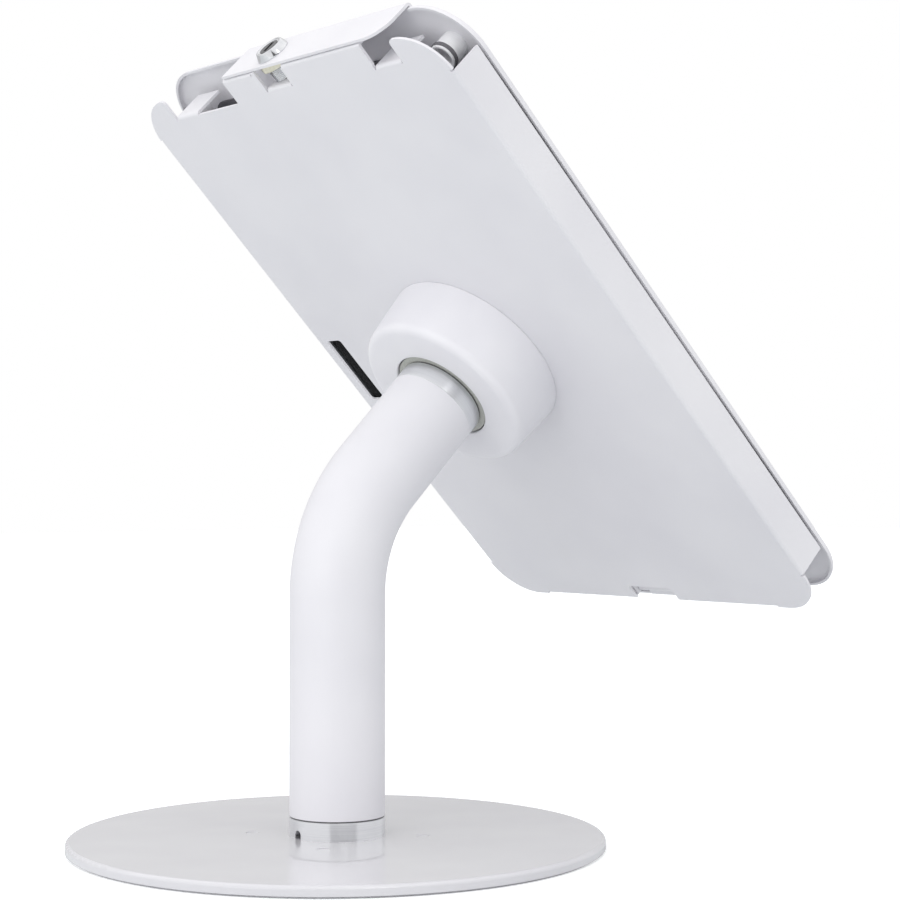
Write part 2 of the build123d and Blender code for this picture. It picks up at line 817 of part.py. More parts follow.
# Catch over the cam's locked place
with BuildPart() as lock_catch:
    ledge_floor = lock_height + cam_width / 2 + catch_ledge_gap
    with BuildSketch(head_section(0, catch_top, 0, across, forward)):
        with BuildLine():
            Polyline(
                (catch_foot_far, sheet),
                (catch_upright, sheet),
                (catch_upright, ledge_floor),
                (catch_tip, ledge_floor),
                (catch_tip, ledge_floor + sheet),
                (catch_upright - sheet, ledge_floor + sheet),
                (catch_upright - sheet, 2 * sheet),
                (catch_foot_far, 2 * sheet),
                close=True,
            )
        make_face()
    extrude(amount=catch_top - catch_bottom)
lock_catch.part.label = "lock_catch"
export_step(lock_catch.part, "parts/lock_catch.step")

# Hinge pin through the tray's ears
with BuildPart() as hinge_pin:
    pin_far = hinge_notch_far - sheet - hinge_pin_tail
    pin_near = hinge_notch_near + sheet + hinge_pin_tail
    with BuildSketch(hinge_section(pin_far)):
        Circle(hinge_pin_diameter / 2)
    extrude(amount=pin_near - pin_far)
hinge_pin.part.label = "hinge_pin"
export_step(hinge_pin.part, "parts/hinge_pin.step")

# Front frame: rimmed sheet with its window, the lock's flange above and the hinge tab below
with BuildPart() as front_frame:
    frame_centre = (0, (frame_top + frame_bottom) / 2)
    rim_length = frame_top - frame_bottom - 2 * flange_step
    with BuildSketch(head_plane.offset(rim_floor)):
        with Locations(frame_centre):
            RectangleRounded(tray_width, rim_length, frame_corner_radius)
    extrude(amount=rim_height)
    fillet(front_frame.edges().group_by(neck_axis)[-1], radius=rim_radius)
    with BuildPart(mode=Mode.SUBTRACT) as rim_hollow:
        with BuildSketch(head_plane.offset(rim_floor)):
            with Locations(frame_centre):
                RectangleRounded(
                    tray_width - 2 * sheet, rim_length - 2 * sheet, frame_corner_radius - sheet
                )
        extrude(amount=rim_height - sheet)
        fillet(rim_hollow.edges().group_by(neck_axis)[-1], radius=rim_radius - sheet)
    for start, end, edge, inward in (
        (top_flange_far, top_flange_near, frame_top, Align.MAX),
        (-bottom_flange_reach, bottom_flange_reach, frame_bottom, Align.MIN),
    ):
        with BuildSketch(head_plane.offset(rim_floor)) as flange_root:
            with Locations((start, edge)):
                Rectangle(end - start, flange_step + rim_radius, align=(Align.MIN, inward))
        extrude(flange_root.sketch, amount=rim_height)
        extrude(flange_root.sketch, amount=rim_height - sheet, mode=Mode.SUBTRACT)
    with BuildSketch(head_plane.offset(frame_inner_height)):
        with Locations(frame_centre):
            RectangleRounded(window_width, window_length, window_corner_radius)
    extrude(amount=sheet, mode=Mode.SUBTRACT)
    sheet_fold(
        head_section(top_flange_near, frame_top, frame_face, uphill, -forward),
        top_flange_near - top_flange_far,
        frame_face - top_flange_end,
    )
    sheet_fold(
        head_section(-bottom_flange_reach, frame_bottom, frame_face, -uphill, -forward),
        2 * bottom_flange_reach,
        frame_face - bottom_flange_end,
    )
    tab_far = hinge_notch_far + hinge_side_gap
    tab_width = hinge_notch_near - hinge_notch_far - 2 * hinge_side_gap
    sheet_fold(
        head_section(tab_far, frame_bottom, bottom_flange_end - sheet, -forward, uphill),
        tab_width,
        hinge_pin_place - frame_bottom,
    )
    with BuildSketch(hinge_section(tab_far)):
        Circle(knuckle_diameter / 2)
    extrude(amount=tab_width)
    with BuildSketch(hinge_section(tab_far)):
        Circle(hinge_pin_diameter / 2 + running_gap)
    extrude(amount=tab_width, mode=Mode.SUBTRACT)
    with BuildSketch(lock_section(frame_top)):
        Circle(barrel_diameter / 2 + press_gap)
    extrude(amount=sheet, mode=Mode.SUBTRACT)
    flange_corner = on_head(top_flange_far, frame_top, top_flange_end)
    fillet(
        front_frame.edges().filter_by(Axis(head_plane.origin, uphill)).sort_by_distance(flange_corner)[0],
        radius=top_flange_corner_radius,
    )
front_frame.part.label = "front_frame"
export_step(front_frame.part, "parts/front_frame.step")

# Gasket round the window
with BuildPart() as window_gasket:
    with BuildSketch(head_plane.offset(frame_inner_height - gasket_thickness)):
        with Locations(frame_centre):
            RectangleRounded(
                window_width + 2 * gasket_width,
                window_length + 2 * gasket_width,
                window_corner_radius + gasket_width,
            )
            RectangleRounded(
                window_width, window_length, window_corner_radius, mode=Mode.SUBTRACT
            )
    extrude(amount=gasket_thickness)
window_gasket.part.label = "window_gasket"
export_step(window_gasket.part, "parts/window_gasket.step")

# Corner posts and the rings in their grooves
post_end = frame_inner_height - post_length
with BuildPart() as corner_posts:
    with BuildSketch(head_plane.offset(post_end)):
        with GridLocations(2 * post_across, 2 * post_along, 2, 2):
            Circle(post_diameter / 2)
            Circle(post_bore / 2, mode=Mode.SUBTRACT)
    extrude(amount=post_length)
    with BuildSketch(head_plane.offset(post_end + post_ring_place)):
        with GridLocations(2 * post_across, 2 * post_along, 2, 2):
            Circle(post_diameter / 2 + overrun)
            Circle(post_diameter / 2 - post_ring_depth, mode=Mode.SUBTRACT)
    extrude(amount=post_ring_height, mode=Mode.SUBTRACT)
corner_posts.part.label = "corner_posts"
export_step(corner_posts.part, "parts/corner_posts.step")

with BuildPart() as post_rings:
    with BuildSketch(head_plane.offset(post_end + post_ring_place)):
        with GridLocations(2 * post_across, 2 * post_along, 2, 2):
            Circle(post_diameter / 2 + post_ring_swell)
            Circle(post_diameter / 2 - post_ring_depth + press_gap, mode=Mode.SUBTRACT)
    extrude(amount=post_ring_height)
post_rings.part.label = "post_rings"
export_step(post_rings.part, "parts/post_rings.step")

# Lock housing on the top flange, with its nut
with BuildPart() as lock_body:
    with Locations(lock_section(frame_top)):
        Cone(
            lock_head_top_diameter / 2,
            lock_head_diameter / 2,
            lock_head_height,
            align=(Align.CENTER, Align.CENTER, Align.MAX),
        )
    with BuildSketch(lock_section(frame_top)):
        Circle(barrel_diameter / 2)
    extrude(amount=frame_top - barrel_end)
    with BuildSketch(lock_section(frame_top + lock_head_height)):
        Circle(plug_diameter / 2 + running_gap)
    extrude(amount=frame_top + lock_head_height - barrel_end, mode=Mode.SUBTRACT)
lock_body.part.label = "lock_body"
export_step(lock_body.part, "parts/lock_body.step")

with BuildPart() as lock_nut:
    with BuildSketch(lock_section(frame_top - sheet)):
        RegularPolygon(lock_nut_across / 2, side_count=6, major_radius=False, rotation=30)
        Circle(barrel_diameter / 2 + press_gap, mode=Mode.SUBTRACT)
    extrude(amount=lock_nut_height)
lock_nut.part.label = "lock_nut"
export_step(lock_nut.part, "parts/lock_nut.step")

# Turning plug with its keyway, and the square end that drives the cam
cam_bottom = cam_top - cam_thickness
square_across = stem_diameter * stem_square_share
with BuildPart() as lock_plug:
    plug_face = frame_top + lock_head_height - plug_recess
    with BuildSketch(lock_section(plug_face)):
        Circle(plug_diameter / 2)
    extrude(amount=plug_face - barrel_end)
    with BuildSketch(lock_section(barrel_end)):
        Circle(stem_diameter / 2)
    extrude(amount=barrel_end - cam_top)
    with BuildSketch(lock_section(cam_top)):
        Rectangle(square_across, square_across)
    extrude(amount=cam_thickness)
    with BuildSketch(lock_section(plug_face)):
        Rectangle(keyway_width, keyway_length)
    extrude(amount=keyway_depth, mode=Mode.SUBTRACT)
    with BuildSketch(lock_section(cam_bottom)):
        Circle(cam_screw_diameter / 2 + press_gap)
    extrude(amount=-(cam_screw_depth + overrun), mode=Mode.SUBTRACT)
lock_plug.part.label = "lock_plug"
export_step(lock_plug.part, "parts/lock_plug.step")

with BuildPart() as lock_cam:
    with BuildSketch(lock_section(cam_top)):
        Circle(cam_boss_diameter / 2)
        Rectangle(cam_width, cam_reach, align=(Align.CENTER, Align.MAX))
        Rectangle(
            square_across + 2 * press_gap, square_across + 2 * press_gap, mode=Mode.SUBTRACT
        )
    extrude(amount=cam_thickness)
lock_cam.part.label = "lock_cam"
export_step(lock_cam.part, "parts/lock_cam.step")

with BuildPart() as cam_screw:
    with BuildSketch(lock_section(cam_bottom)):
        Circle(cam_screw_head / 2)
    extrude(amount=cam_screw_head_height)
    with BuildSketch(lock_section(cam_bottom)):
        Circle(cam_screw_diameter / 2)
    extrude(amount=-cam_screw_depth)
cam_screw.part.label = "cam_screw"
export_step(cam_screw.part, "parts/cam_screw.step")
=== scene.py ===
"""Looks of the tablet security kiosk stand: sheet case, turning head, bent tube arm and round base.

Sizes in the classes are millimetres. Blender works in metres, so every length is multiplied by MM.
"""

from __future__ import annotations

import json
import logging
import math
from collections.abc import Callable, Sequence
from dataclasses import dataclass
from enum import Enum
from typing import Any

import bmesh
import bpy
from mathutils import Euler, Matrix, Vector

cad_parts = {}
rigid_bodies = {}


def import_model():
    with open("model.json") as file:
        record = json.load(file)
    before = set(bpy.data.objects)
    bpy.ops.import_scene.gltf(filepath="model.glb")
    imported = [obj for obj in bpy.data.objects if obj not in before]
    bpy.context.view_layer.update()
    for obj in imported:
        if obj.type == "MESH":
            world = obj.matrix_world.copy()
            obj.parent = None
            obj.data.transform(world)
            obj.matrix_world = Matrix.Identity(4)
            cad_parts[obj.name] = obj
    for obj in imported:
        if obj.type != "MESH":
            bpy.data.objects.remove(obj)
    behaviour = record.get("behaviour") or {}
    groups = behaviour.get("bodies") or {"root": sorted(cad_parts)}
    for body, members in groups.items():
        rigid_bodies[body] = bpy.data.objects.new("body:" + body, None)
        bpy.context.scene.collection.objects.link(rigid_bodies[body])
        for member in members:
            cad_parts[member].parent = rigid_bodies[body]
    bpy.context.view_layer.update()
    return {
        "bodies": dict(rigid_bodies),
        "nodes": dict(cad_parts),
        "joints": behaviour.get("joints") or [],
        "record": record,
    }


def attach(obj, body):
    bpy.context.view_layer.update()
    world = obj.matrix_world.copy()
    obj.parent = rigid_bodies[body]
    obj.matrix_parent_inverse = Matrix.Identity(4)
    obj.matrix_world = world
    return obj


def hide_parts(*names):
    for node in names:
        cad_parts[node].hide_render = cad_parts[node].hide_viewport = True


MM = 0.001
LOG = logging.getLogger("kiosk_stand")

Tree = bpy.types.NodeTree
Socket = bpy.types.NodeSocket
Node = bpy.types.Node
Object = bpy.types.Object
Material = bpy.types.Material
Pair = tuple[float, float]
Triple = tuple[float, float, float]
Ring = list[Vector]
Profile = list[Pair]
Tones = tuple[str, str]
Sockets = tuple[tuple[str, Any], ...]

LOW_SPOT = 0.3  # noise value that counts as a pattern's low spot
HIGH_SPOT = 0.7  # noise value that counts as its high spot
SHARP_ANGLE = 32  # degrees from which an edge of a new piece stays sharp

WELD_GAP = 0.002  # millimetres within which the points of CAD faces are joined
FLAT_ANGLE = 0.4  # degrees up to which neighbouring facets count as one flat
EASED_ANGLE = 35  # degrees from which a CAD edge is eased
EASED_STEPS = 2

FOAM_FOOT = ((0.35, 0), (0.1, 0.12), (0, 0.35))  # inset and rise of the foot, in edge radii
FOAM_EDGE_STEPS = 5
FOAM_CROWN_STEPS = 6
FOAM_REACH = 0.96  # share of half the width over which the face rises
FOAM_CORNER = 1.2  # radius of the corners seen from above, in edge radii
LEAST_CORNER = 0.05


class Slot(Enum):
    """Material slots of the part's record, and the finishes of the pad and the lock's plug."""

    POWDER_COAT = "white_powder_coat"
    GLOSS_COAT = "white_gloss_coat"
    HOUSING = "white_housing"
    HUB = "hub_grey"
    ALUMINIUM = "turned_aluminium"
    NYLON = "black_nylon"
    STEEL = "bright_steel"
    SPRING = "spring_steel"
    RUBBER = "black_rubber"
    PAD = "pale_pad"
    FOAM = "black_foam"
    RAIL = "grey_plastic"
    POST = "white_plastic"
    CHROME = "lock_chrome"
    PLUG = "lock_plug_nickel"
    BRASS = "lock_brass"


class Body(Enum):
    """Moving bodies that the new pieces ride on."""

    ARM = "arm"
    HEAD = "head"
    FRAME = "frame"


def linear(colour: str) -> tuple[float, float, float, float]:
    """Turn an sRGB colour into the linear values of a shader.

    Args:
        colour: Hex colour such as "#E6E7E9".

    Returns:
        Red, green, blue and an opaque alpha.
    """
    parts = [int(colour[i : i + 2], 16) / 255 for i in (1, 3, 5)]
    red, green, blue = (p / 12.92 if p <= 0.04045 else ((p + 0.055) / 1.055) ** 2.4 for p in parts)
    return red, green, blue, 1.0


def add_node(tree: Tree, kind: str, feeds: dict[Any, Any] | None = None, **settings: Any) -> Node:
    """Add a node with its settings and links.

    Args:
        tree: Node tree that takes the node.
        kind: Blender's name for the node's type.
        feeds: A value or an output socket for each input, by its name or number.
        settings: The node's own properties.

    Returns:
        The new node.
    """
    node = tree.nodes.new(kind)
    for name, value in settings.items():
        setattr(node, name, value)
    for name, value in (feeds or {}).items():
        if isinstance(value, Socket):
            tree.links.new(value, node.inputs[name])
        else:
            node.inputs[name].default_value = value
    return node


def node_material(name: str, shader: Callable[[Tree], Node]) -> Material:
    """Make a node material.

    Args:
        name: Name of the material.
        shader: Builds the shader in the material's tree.

    Returns:
        The new material.
    """
    material = bpy.data.materials.new(name)
    material.use_nodes = True
    tree = material.node_tree
    tree.nodes.clear()
    add_node(tree, "ShaderNodeOutputMaterial", {"Surface": shader(tree).outputs[0]})
    return material


def object_place(tree: Tree, stretch: Triple = (1, 1, 1)) -> Socket:
    """Object coordinates in metres, stretched along the three directions.

    Args:
        tree: Node tree of the material.
        stretch: Factor for each direction; a small one draws a pattern out.

    Returns:
        The vector socket.
    """
    place = add_node(tree, "ShaderNodeTexCoord").outputs["Object"]
    scaled = add_node(tree, "ShaderNodeMapping", {"Vector": place, "Scale": stretch})
    return scaled.outputs["Vector"]


def grain(tree: Tree, place: Socket, spacing: float, layers: float = 2) -> Socket:
    """Soft random pattern about 0.5, with its high spots a spacing in millimetres apart."""
    feeds = {"Vector": place, "Scale": 1 / (spacing * MM), "Detail": layers}
    return add_node(tree, "ShaderNodeTexNoise", feeds).outputs["Fac"]


def between(tree: Tree, pattern: Socket, low: float, high: float) -> Socket:
    """Spread a pattern between two values.

    Args:
        tree: Node tree of the material.
        pattern: Pattern with values about 0.5.
        low: Value at the pattern's low spots.
        high: Value at its high spots.

    Returns:
        The spread socket.
    """
    spots = {"From Min": LOW_SPOT, "From Max": HIGH_SPOT}
    feeds = {"Value": pattern, "To Min": low, "To Max": high} | spots
    return add_node(tree, "ShaderNodeMapRange", feeds).outputs["Result"]


def tinted(tree: Tree, pattern: Socket, low: str, high: str) -> Socket:
    """Colour that moves between two sRGB colours with a pattern.

    Args:
        tree: Node tree of the material.
        pattern: Pattern with values about 0.5.
        low: Hex colour at the pattern's low spots.
        high: Hex colour at its high spots.

    Returns:
        The colour socket.
    """
    ramp = add_node(tree, "ShaderNodeValToRGB", {"Fac": pattern})
    for stop, spot, colour in zip(ramp.color_ramp.elements, (LOW_SPOT, HIGH_SPOT), (low, high)):
        stop.position = spot
        stop.color = linear(colour)
    return ramp.outputs["Color"]


def relief(tree: Tree, pattern: Socket, depth: float) -> Socket:
    """Bump that is a depth in millimetres from its pattern's low to its high spots."""
    feeds = {"Height": pattern, "Distance": depth * MM, "Strength": 1.0}
    return add_node(tree, "ShaderNodeBump", feeds).outputs["Normal"]


@dataclass(frozen=True)
class Finish:
    """A surface made from its material and the way it was worked.

    Its own fine pattern drives its colour, its roughness and its relief. Where it has a slow drift
    too, this takes over the colour or the roughness.
    """

    slot: Slot
    tones: Tones  # colours at the pattern's low and high spots
    roughness: Pair
    spacing: float  # millimetres between the pattern's high spots
    depth: float  # millimetres of its relief
    layers: float = 3  # finer layers on the pattern
    stretch: Triple = (1, 1, 1)  # a small factor draws the pattern out
    drift: float = 0  # millimetres between the drift's high spots, or 0 for none
    drift_layers: float = 2
    drift_tints: bool = True
    drift_dulls: bool = False
    ior: float = 1.53
    metal: bool = False
    more: Sockets = ()  # further sockets of the shader

    def material(self) -> Material:
        """Make the finish's material, named after its slot."""
        return node_material(self.slot.value, self.shader)

    def pattern(self, tree: Tree) -> Socket:
        """Fine pattern of the finish."""
        return grain(tree, object_place(tree, self.stretch), self.spacing, self.layers)

    def shader(self, tree: Tree) -> Node:
        """Make the shader from its patterns. A metal keeps the shader's own IOR.

        Args:
            tree: Node tree of the material.

        Returns:
            The shader node.
        """
        fine = slow = self.pattern(tree)
        if self.drift:
            slow = grain(tree, object_place(tree), self.drift, self.drift_layers)
        feeds = {
            "Base Color": tinted(tree, slow if self.drift_tints else fine, *self.tones),
            "Roughness": between(tree, slow if self.drift_dulls else fine, *self.roughness),
            "Normal": relief(tree, fine, self.depth),
        }
        feeds |= {"Metallic": 1.0} if self.metal else {"IOR": self.ior}
        return add_node(tree, "ShaderNodeBsdfPrincipled", feeds | dict(self.more))


@dataclass(frozen=True)
class SatinPowderCoat(Finish):
    """Polyester powder baked on folded steel sheet.

    The eye gets a soft, even sheen with a faint orange peel, and a tone that drifts a little
    where the film is thicker.
    """

    slot: Slot = Slot.POWDER_COAT
    tones: Tones = ("#DDDCE1", "#E3E2E6")
    roughness: Pair = (0.40, 0.48)
    spacing: float = 1.6  # real peel is about 1 mm apart; drawn coarser so that it shows
    depth: float = 0.012
    drift: float = 70
    ior: float = 1.5


@dataclass(frozen=True)
class GlossPowderCoat(Finish):
    """Glossy powder baked on the thick steel base plate.

    The plate mirrors the arm's foot softly, and long flow waves bend the mirrored edges.
    """

    slot: Slot = Slot.GLOSS_COAT
    tones: Tones = ("#D2D1D6", "#D8D7DB")
    roughness: Pair = (0.16, 0.22)
    spacing: float = 9
    depth: float = 0.01
    layers: float = 1
    drift: float = 90
    drift_dulls: bool = True
    ior: float = 1.52
    more: Sockets = (("Coat Weight", 0.5), ("Coat Roughness", 0.05))


@dataclass(frozen=True)
class MouldedHousing(Finish):
    """White ABS from a finely etched mould.

    The etched skin breaks the light into a soft satin glow on the rounded edge.
    """

    slot: Slot = Slot.HOUSING
    tones: Tones = ("#E3E2E7", "#E9E8EC")
    roughness: Pair = (0.34, 0.44)
    spacing: float = 0.9  # real etching is about 0.3 mm; drawn coarser so that it shows
    depth: float = 0.008
    layers: float = 4
    drift: float = 40


@dataclass(frozen=True)
class MouldedHub(Finish):
    """Warm grey glass-filled nylon of the turning hub, moulded.

    Short fibres near the skin give a mottled, dull face.
    """

    slot: Slot = Slot.HUB
    tones: Tones = ("#AFB0AA", "#BFC0BA")
    roughness: Pair = (0.5, 0.62)
    spacing: float = 1.2
    depth: float = 0.02
    layers: float = 4


@dataclass(frozen=True)
class TurnedAluminium(Finish):
    """Aluminium turned on a lathe and clear anodised.

    Fine rings round the axis stretch each reflection into bands that run along the axis. The
    quarter turn points the stretch across the rings.
    """

    slot: Slot = Slot.ALUMINIUM
    tones: Tones = ("#E2E3E6", "#ECEDEF")
    roughness: Pair = (0.28, 0.34)
    spacing: float = 0.35
    depth: float = 0.0015
    layers: float = 2
    stretch: Triple = (0.01, 0.01, 1)
    metal: bool = True
    more: Sockets = (("Anisotropic", 0.9), ("Anisotropic Rotation", 0.25))

    def shader(self, tree: Tree) -> Node:
        """Make the metal's shader with the rings' own direction.

        Args:
            tree: Node tree of the material.

        Returns:
            The shader node.
        """
        shader = super().shader(tree)
        tangent = add_node(tree, "ShaderNodeTangent", direction_type="RADIAL", axis="Z")
        tree.links.new(tangent.outputs["Tangent"], shader.inputs["Tangent"])
        return shader


@dataclass(frozen=True)
class MouldedNylon(Finish):
    """Nylon of the bushes and thrust washers, moulded and then run in.

    Rubbing has worn its black to a dull grey with a slight polish.
    """

    slot: Slot = Slot.NYLON
    tones: Tones = ("#5A5A5D", "#6C6C6F")
    roughness: Pair = (0.42, 0.6)
    spacing: float = 1.5
    depth: float = 0.01


@dataclass(frozen=True)
class ZincPlatedSteel(Finish):
    """Steel of screws, pins, nuts, cam and catch, barrel plated in bright zinc.

    Cool silver whose tone clouds a little from place to place, with fine rubbing scratches.
    """

    slot: Slot = Slot.STEEL
    tones: Tones = ("#A9ABB0", "#C4C6CA")
    roughness: Pair = (0.24, 0.38)
    spacing: float = 0.5
    depth: float = 0.004
    stretch: Triple = (1, 0.15, 1)
    drift: float = 6
    drift_layers: float = 3
    drift_dulls: bool = True
    metal: bool = True


@dataclass(frozen=True)
class TemperedSpringSteel(Finish):
    """Spring steel, hardened and oiled.

    Dark straw-brown grey with the sheen of a thin oxide.
    """

    slot: Slot = Slot.SPRING
    tones: Tones = ("#5C5A57", "#7B7874")
    roughness: Pair = (0.3, 0.45)
    spacing: float = 5
    depth: float = 0.004
    layers: float = 4
    metal: bool = True


@dataclass(frozen=True)
class CalenderedRubber(Finish):
    """Charcoal rubber of the gasket, grommet and rings.

    Matt charcoal, greyed by the fine talc-like speckle in its skin.
    """

    slot: Slot = Slot.RUBBER
    tones: Tones = ("#5B5A5F", "#6D6C71")
    roughness: Pair = (0.66, 0.82)
    spacing: float = 0.8
    depth: float = 0.03
    layers: float = 4
    ior: float = 1.52


@dataclass(frozen=True)
class CastPad(Finish):
    """Pale grey urethane of the pad under the base, cast as a sheet.

    Its matt edge hardly shows between the white plate and the floor.
    """

    slot: Slot = Slot.PAD
    tones: Tones = ("#C4C3C8", "#D2D1D5")
    roughness: Pair = (0.6, 0.75)
    spacing: float = 1.2
    depth: float = 0.02
    layers: float = 4
    ior: float = 1.5


@dataclass(frozen=True)
class ClosedCellFoam(Finish):
    """Black closed-cell foam, split from a block so that its cells are cut open.

    The open cells make a dry, pitted face that drinks the light.
    """

    slot: Slot = Slot.FOAM
    tones: Tones = ("#0B0B0D", "#17181B")
    roughness: Pair = (0.85, 0.98)
    spacing: float = 0.9
    depth: float = 0.25
    drift: float = 4.5
    drift_layers: float = 3
    drift_tints: bool = False
    drift_dulls: bool = True
    ior: float = 1.45
    more: Sockets = (("Sheen Weight", 0.15), ("Sheen Roughness", 0.5))

    def pattern(self, tree: Tree) -> Socket:
        """Cells cut open."""
        feeds = {"Vector": object_place(tree), "Scale": 1 / (self.spacing * MM)}
        return add_node(tree, "ShaderNodeTexVoronoi", feeds).outputs["Distance"]


@dataclass(frozen=True)
class ExtrudedRail(Finish):
    """Dark grey PVC rail, extruded.

    Faint die lines run along its length.
    """

    slot: Slot = Slot.RAIL
    tones: Tones = ("#34373A", "#43464A")
    roughness: Pair = (0.38, 0.5)
    spacing: float = 0.7
    depth: float = 0.01
    stretch: Triple = (1, 0.02, 0.02)


@dataclass(frozen=True)
class TurnedAcetal(Finish):
    """White acetal of the corner posts, turned from bar.

    Slightly waxy, with light sinking 2 mm into the edges and fine rings round the axis.
    """

    slot: Slot = Slot.POST
    tones: Tones = ("#E2E2E5", "#EAEAEC")
    roughness: Pair = (0.3, 0.4)
    spacing: float = 0.4
    depth: float = 0.006
    stretch: Triple = (0.05, 0.05, 1)
    ior: float = 1.48
    more: Sockets = (
        ("Subsurface Weight", 0.15),
        ("Subsurface Radius", (1.0, 0.9, 0.9)),
        ("Subsurface Scale", 2 * MM),
    )


@dataclass(frozen=True)
class PolishedChrome(Finish):
    """Zinc die casting, polished and plated in chrome.

    A near mirror with the lightest haze from handling.
    """

    slot: Slot = Slot.CHROME
    tones: Tones = ("#D3D4D8", "#E1E2E4")
    roughness: Pair = (0.04, 0.1)
    spacing: float = 4
    depth: float = 0.003
    layers: float = 4
    metal: bool = True


@dataclass(frozen=True)
class BlackNickel(Finish):
    """Brass plug of the lock, turned and plated in black nickel.

    A dark mirror in the bright ring of the lock's head, broken up by key scratches.
    """

    slot: Slot = Slot.PLUG
    tones: Tones = ("#3A3A3E", "#55555A")
    roughness: Pair = (0.12, 0.26)
    spacing: float = 0.6
    depth: float = 0.006
    stretch: Triple = (0.1, 1, 1)
    metal: bool = True


@dataclass(frozen=True)
class MilledBrass(Finish):
    """Pale brass of the lock's nut, pressed and milled flat.

    Cream-yellow metal, dulled, with short milling marks.
    """

    slot: Slot = Slot.BRASS
    tones: Tones = ("#D6D2BE", "#E6E3D4")
    roughness: Pair = (0.32, 0.46)
    spacing: float = 0.8
    depth: float = 0.008
    stretch: Triple = (0.2, 1, 1)
    metal: bool = True


FINISHES: tuple[Finish, ...] = (
    SatinPowderCoat(),
    GlossPowderCoat(),
    MouldedHousing(),
    MouldedHub(),
    TurnedAluminium(),
    MouldedNylon(),
    ZincPlatedSteel(),
    TemperedSpringSteel(),
    CalenderedRubber(),
    CastPad(),
    ClosedCellFoam(),
    ExtrudedRail(),
    TurnedAcetal(),
    PolishedChrome(),
    BlackNickel(),
    MilledBrass(),
)


@dataclass(frozen=True)
class Placement:
    """An origin in metres with three unit directions."""

    origin: Vector
    across: Vector
    along: Vector
    out: Vector

    def matrix(self) -> Matrix:
        """Matrix that takes local metres to the part's frame."""
        turn = Matrix((self.across, self.along, self.out)).transposed().to_4x4()
        return Matrix.Translation(self.origin) @ turn


def eased(corners: Sequence[Triple], steps: int = 5) -> Profile:
    """Round the corners of a closed profile.

    Args:
        corners: Radius, height and how far from the corner its rounding starts, for each corner.
        steps: Points on each rounding.

    Returns:
        The profile's points in order.
    """
    profile: Profile = []
    for i, (radius, height, ease) in enumerate(corners):
        here = Vector((radius, height))
        if ease == 0:
            profile.append((here.x, here.y))
            continue
        before = Vector(corners[i - 1][:2])
        after = Vector(corners[(i + 1) % len(corners)][:2])
        start = here + (before - here).normalized() * ease
        end = here + (after - here).normalized() * ease
        for step in range(steps + 1):
            t = step / steps
            point = start * (1 - t) ** 2 + here * (2 * t * (1 - t)) + end * t**2
            profile.append((point.x, point.y))
    return profile


def band(radii: Pair, heights: Pair, rolls: Pair) -> tuple[Triple, ...]:
    """Corners of a ring's section.

    Args:
        radii: Its inner and outer radius in millimetres.
        heights: Its lower and upper height in millimetres.
        rolls: How far from its inner and outer corners the rounding starts.

    Returns:
        The corners in order.
    """
    (inner, outer), (low, high), (inside, outside) = radii, heights, rolls
    outer_side = ((outer, low, outside), (outer, high, outside))
    return (inner, low, inside), *outer_side, (inner, high, inside)


def shaped_circle(
    shape: Callable[[float, float], float], height: float, count: int, centre: Pair = (0, 0)
) -> Ring:
    """Ring whose radius may change round its axis.

    Args:
        shape: Gives the radius in millimetres at an angle in radians and a height.
        height: Height on the axis in millimetres.
        count: Points on the ring.
        centre: Place of the axis in millimetres.

    Returns:
        The ring's points in metres.
    """
    ring: Ring = []
    for i in range(count):
        a = 2 * math.pi * i / count
        radius = shape(a, height)
        x, y = centre[0] + radius * math.cos(a), centre[1] + radius * math.sin(a)
        ring.append(Vector((x, y, height)) * MM)
    return ring


def circle(radius: float, height: float, count: int, centre: Pair = (0, 0)) -> Ring:
    """Round ring of points, with the same sizes as a shaped circle's."""
    return shaped_circle(lambda angle, rise: radius, height, count, centre)


def rounded_rectangle(
    centre: Pair, half: Pair, corner: float, height: float, steps: int = 6
) -> Ring:
    """Rectangle with round corners, as a ring of points.

    Args:
        centre: Its middle in millimetres.
        half: Half its width and half its length in millimetres.
        corner: Corner radius in millimetres.
        height: Height of the ring in millimetres.
        steps: Points on each quarter turn.

    Returns:
        The ring's points in metres.
    """
    corner = min(corner, half[0], half[1])
    ring: Ring = []
    for quarter, (sx, sy) in enumerate(((1, 1), (-1, 1), (-1, -1), (1, -1))):
        for step in range(steps + 1):
            a = math.pi / 2 * (quarter + step / steps)
            x = centre[0] + sx * (half[0] - corner) + corner * math.cos(a)
            y = centre[1] + sy * (half[1] - corner) + corner * math.sin(a)
            ring.append(Vector((x, y, height)) * MM)
    return ring


def four_corners(x: float, y: float) -> list[Pair]:
    """Places at the same distance from the middle in each quarter."""
    return [(sx * x, sy * y) for sx in (-1, 1) for sy in (-1, 1)]


def new_object(name: str, data: bpy.types.ID) -> Object:
    """Put a new object with its data in the scene."""
    item = bpy.data.objects.new(name, data)
    bpy.context.scene.collection.objects.link(item)
    return item


def mesh_object(name: str, form: bmesh.types.BMesh) -> Object:
    """Put a finished form in the scene and free it.

    Args:
        name: Name of the object and its mesh.
        form: The form.

    Returns:
        The new object.
    """
    mesh = bpy.data.meshes.new(name)
    form.to_mesh(mesh)
    form.free()
    return new_object(name, mesh)


